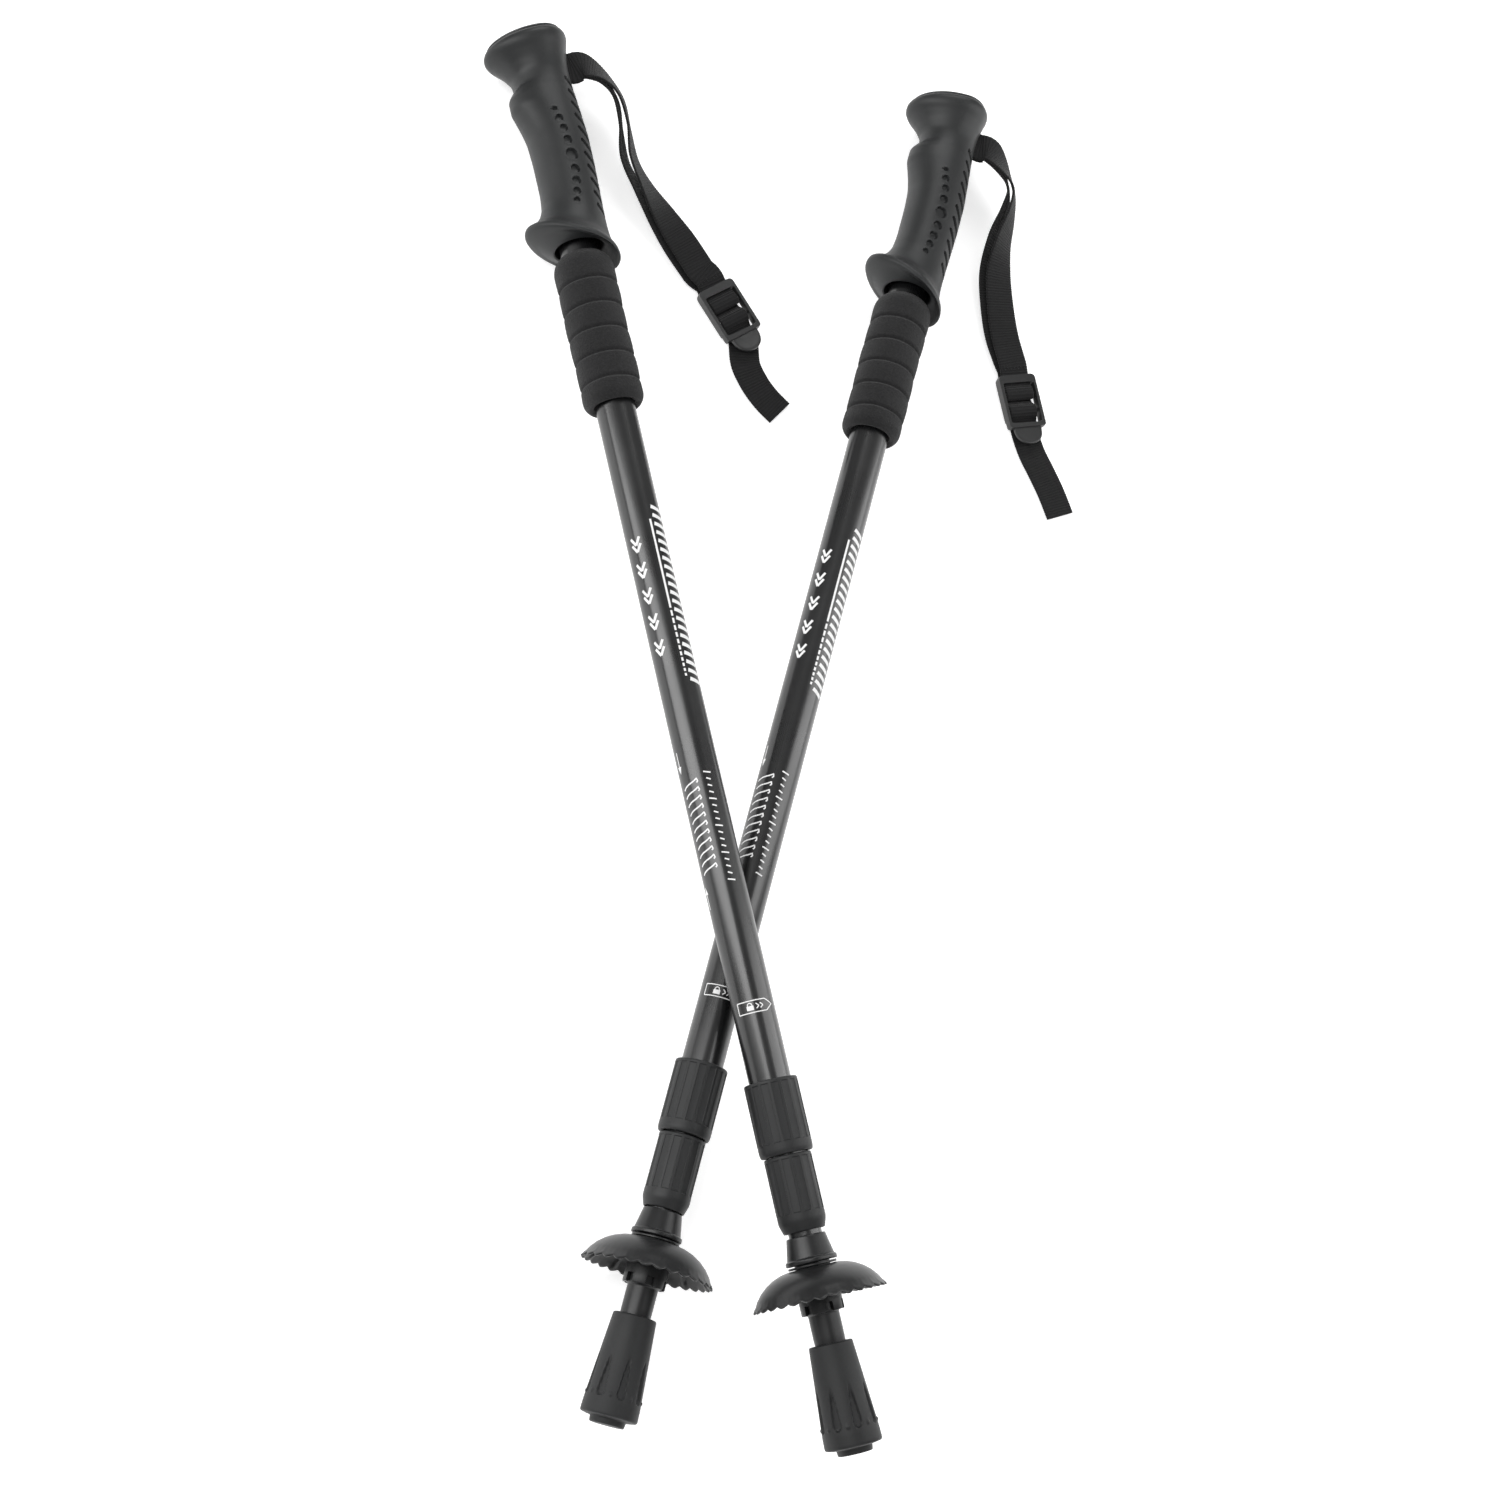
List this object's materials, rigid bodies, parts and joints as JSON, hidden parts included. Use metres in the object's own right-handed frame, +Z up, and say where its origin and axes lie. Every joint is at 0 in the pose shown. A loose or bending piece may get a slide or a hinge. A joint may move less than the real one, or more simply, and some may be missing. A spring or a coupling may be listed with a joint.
{
  "type": "pair of trekking poles",
  "caption": "Pair of twist-lock telescopic trekking poles lying crossed and collapsed, with moulded grips, foam sleeves, wrist straps, baskets and rubber feet.",
  "frame": {"origin": "middle of the pair's bounds, on the ground that the poles lie on", "axes": "+Z up from the ground, +Y towards the grips, +X towards the grip of the right pole"},
  "size_m": [0.307, 0.6422, 0.08],
  "materials": {
    "charcoal_grip": "satin dark charcoal moulding, softly textured",
    "black_plastic": "satin black moulded nylon",
    "black_aluminium": "black anodised, satin, with white printed marks",
    "black_foam": "fine-grained closed-cell foam",
    "black_webbing": "ribbed woven webbing",
    "steel": "plain steel",
    "black_rubber": "matt black moulded rubber",
    "carbide": "sintered carbide"
  },
  "bodies": {
    "right_pole": {"right_upper_tube": "black_aluminium", "right_upper_collar": "black_plastic", "right_foam_grip": "black_foam", "right_stroke_pin": "steel", "right_tube_top_plug": "black_plastic"},
    "right_grip": {"right_grip": "charcoal_grip", "right_grip_cap": "charcoal_grip", "right_strap_pin": "steel", "right_strap_root": "black_webbing", "right_grip_liner": "black_plastic", "right_shock_spring": "steel"},
    "right_strap": {"right_strap": "black_webbing", "right_buckle": "black_plastic"},
    "right_middle_expander": {"right_middle_expander": "black_plastic"},
    "right_middle_wedge": {"right_middle_wedge": "black_plastic"},
    "right_middle_section": {"right_middle_tube": "black_aluminium", "right_lower_collar": "black_plastic", "right_middle_stud": "steel", "right_middle_plug": "black_plastic"},
    "right_lower_expander": {"right_lower_expander": "black_plastic"},
    "right_lower_wedge": {"right_lower_wedge": "black_plastic"},
    "right_lower_section": {"right_lower_tube": "black_aluminium", "right_lower_stud": "steel", "right_lower_plug": "black_plastic", "right_ferrule": "black_plastic", "right_tip_insert": "carbide"},
    "right_basket_washer": {"right_basket_washer": "black_plastic"},
    "right_basket": {"right_basket": "black_plastic"},
    "right_foot": {"right_rubber_foot": "black_rubber"},
    "left_pole": {"left_upper_tube": "black_aluminium", "left_upper_collar": "black_plastic", "left_foam_grip": "black_foam", "left_stroke_pin": "steel", "left_tube_top_plug": "black_plastic"},
    "left_grip": {"left_grip": "charcoal_grip", "left_grip_cap": "charcoal_grip", "left_strap_pin": "steel", "left_strap_root": "black_webbing", "left_grip_liner": "black_plastic", "left_shock_spring": "steel"},
    "left_strap": {"left_strap": "black_webbing", "left_buckle": "black_plastic"},
    "left_middle_expander": {"left_middle_expander": "black_plastic"},
    "left_middle_wedge": {"left_middle_wedge": "black_plastic"},
    "left_middle_section": {"left_middle_tube": "black_aluminium", "left_lower_collar": "black_plastic", "left_middle_stud": "steel", "left_middle_plug": "black_plastic"},
    "left_lower_expander": {"left_lower_expander": "black_plastic"},
    "left_lower_wedge": {"left_lower_wedge": "black_plastic"},
    "left_lower_section": {"left_lower_tube": "black_aluminium", "left_lower_stud": "steel", "left_lower_plug": "black_plastic", "left_ferrule": "black_plastic", "left_tip_insert": "carbide"},
    "left_basket_washer": {"left_basket_washer": "black_plastic"},
    "left_basket": {"left_basket": "black_plastic"},
    "left_foot": {"left_rubber_foot": "black_rubber"}
  },
  "joints": [
    {"name": "right_shock_travel", "type": "slide", "parent": "right_pole", "child": "right_grip", "axis": [-0.2409, -0.9704, 0.0158], "range_m": [0, 0.004], "stiffness_N_per_m": 6000},
    {"name": "right_strap_swing", "type": "hinge", "parent": "right_grip", "child": "right_strap", "pos_m": [0.09665, 0.30033, 0.01887], "axis": [-0.2409, -0.9704, 0.0158], "range_deg": [0, 80]},
    {"name": "right_middle_extend", "type": "slide", "parent": "right_pole", "child": "right_middle_expander", "axis": [-0.2409, -0.9704, 0.0158], "range_m": [0, 0.32]},
    {"name": "right_middle_wedge_slide", "type": "slide", "parent": "right_middle_expander", "child": "right_middle_wedge", "axis": [0.2409, 0.9704, -0.0158], "range_m": [0, 0.0041]},
    {"name": "right_middle_twist", "type": "hinge", "parent": "right_middle_expander", "child": "right_middle_section", "pos_m": [0.05233, 0.19234, 0.02069], "axis": [0.2409, 0.9704, -0.0158], "range_deg": [0, 360]},
    {"name": "right_lower_extend", "type": "slide", "parent": "right_middle_section", "child": "right_lower_expander", "axis": [-0.2409, -0.9704, 0.0158], "range_m": [0, 0.32]},
    {"name": "right_lower_wedge_slide", "type": "slide", "parent": "right_lower_expander", "child": "right_lower_wedge", "axis": [0.2409, 0.9704, -0.0158], "range_m": [0, 0.0041]},
    {"name": "right_lower_twist", "type": "hinge", "parent": "right_lower_expander", "child": "right_lower_section", "pos_m": [0.04028, 0.14382, 0.02148], "axis": [0.2409, 0.9704, -0.0158], "range_deg": [0, 360]},
    {"name": "right_basket_washer_slide", "type": "slide", "parent": "right_lower_section", "child": "right_basket_washer", "axis": [-0.2409, -0.9704, 0.0158], "range_m": [0, 0.0091]},
    {"name": "right_basket_turn", "type": "hinge", "parent": "right_basket_washer", "child": "right_basket", "pos_m": [-0.05667, -0.24678, 0.02784], "axis": [-0.2409, -0.9704, 0.0158], "range_deg": [0, 1080]},
    {"name": "right_foot_pull", "type": "slide", "parent": "right_lower_section", "child": "right_foot", "axis": [-0.2409, -0.9704, 0.0158], "range_m": [0, 0.05]},
    {"name": "left_pole_lift", "type": "slide", "parent": "right_pole", "child": "left_pole", "axis": [0, 0, 1], "range_m": [0, 0.25]},
    {"name": "left_shock_travel", "type": "slide", "parent": "left_pole", "child": "left_grip", "axis": [0.2405, -0.9689, 0.0574], "range_m": [0, 0.004], "stiffness_N_per_m": 6000},
    {"name": "left_strap_swing", "type": "hinge", "parent": "left_grip", "child": "left_strap", "pos_m": [-0.11182, 0.30041, 0.01929], "axis": [0.2405, -0.9689, 0.0574], "range_deg": [0, 80]},
    {"name": "left_middle_extend", "type": "slide", "parent": "left_pole", "child": "left_middle_expander", "axis": [0.2405, -0.9689, 0.0574], "range_m": [0, 0.32]},
    {"name": "left_middle_wedge_slide", "type": "slide", "parent": "left_middle_expander", "child": "left_middle_wedge", "axis": [-0.2405, 0.9689, -0.0574], "range_m": [0, 0.0041]},
    {"name": "left_middle_twist", "type": "hinge", "parent": "left_middle_expander", "child": "left_middle_section", "pos_m": [-0.10054, 0.18441, 0.02592], "axis": [-0.2405, 0.9689, -0.0574], "range_deg": [0, 360]},
    {"name": "left_lower_extend", "type": "slide", "parent": "left_middle_section", "child": "left_lower_expander", "axis": [0.2405, -0.9689, 0.0574], "range_m": [0, 0.32]},
    {"name": "left_lower_wedge_slide", "type": "slide", "parent": "left_lower_expander", "child": "left_lower_wedge", "axis": [-0.2405, 0.9689, -0.0574], "range_m": [0, 0.0041]},
    {"name": "left_lower_twist", "type": "hinge", "parent": "left_lower_expander", "child": "left_lower_section", "pos_m": [-0.08851, 0.13596, 0.02879], "axis": [-0.2405, 0.9689, -0.0574], "range_deg": [0, 360]},
    {"name": "left_basket_washer_slide", "type": "slide", "parent": "left_lower_section", "child": "left_basket_washer", "axis": [0.2405, -0.9689, 0.0574], "range_m": [0, 0.0091]},
    {"name": "left_basket_turn", "type": "hinge", "parent": "left_basket_washer", "child": "left_basket", "pos_m": [0.00865, -0.2555, 0.05197], "axis": [0.2405, -0.9689, 0.0574], "range_deg": [0, 1080]},
    {"name": "left_foot_pull", "type": "slide", "parent": "left_lower_section", "child": "left_foot", "axis": [0.2405, -0.9689, 0.0574], "range_m": [0, 0.05]}
  ],
  "couplings": [
    {"joint": "right_middle_wedge_slide", "follows": "right_middle_twist", "m_per_rad": 0.00063662},
    {"joint": "right_lower_wedge_slide", "follows": "right_lower_twist", "m_per_rad": 0.00063662},
    {"joint": "right_basket_washer_slide", "follows": "right_basket_turn", "m_per_rad": 0.00047746},
    {"joint": "left_middle_wedge_slide", "follows": "left_middle_twist", "m_per_rad": 0.00063662},
    {"joint": "left_lower_wedge_slide", "follows": "left_lower_twist", "m_per_rad": 0.00063662},
    {"joint": "left_basket_washer_slide", "follows": "left_basket_turn", "m_per_rad": 0.00047746}
  ]
}
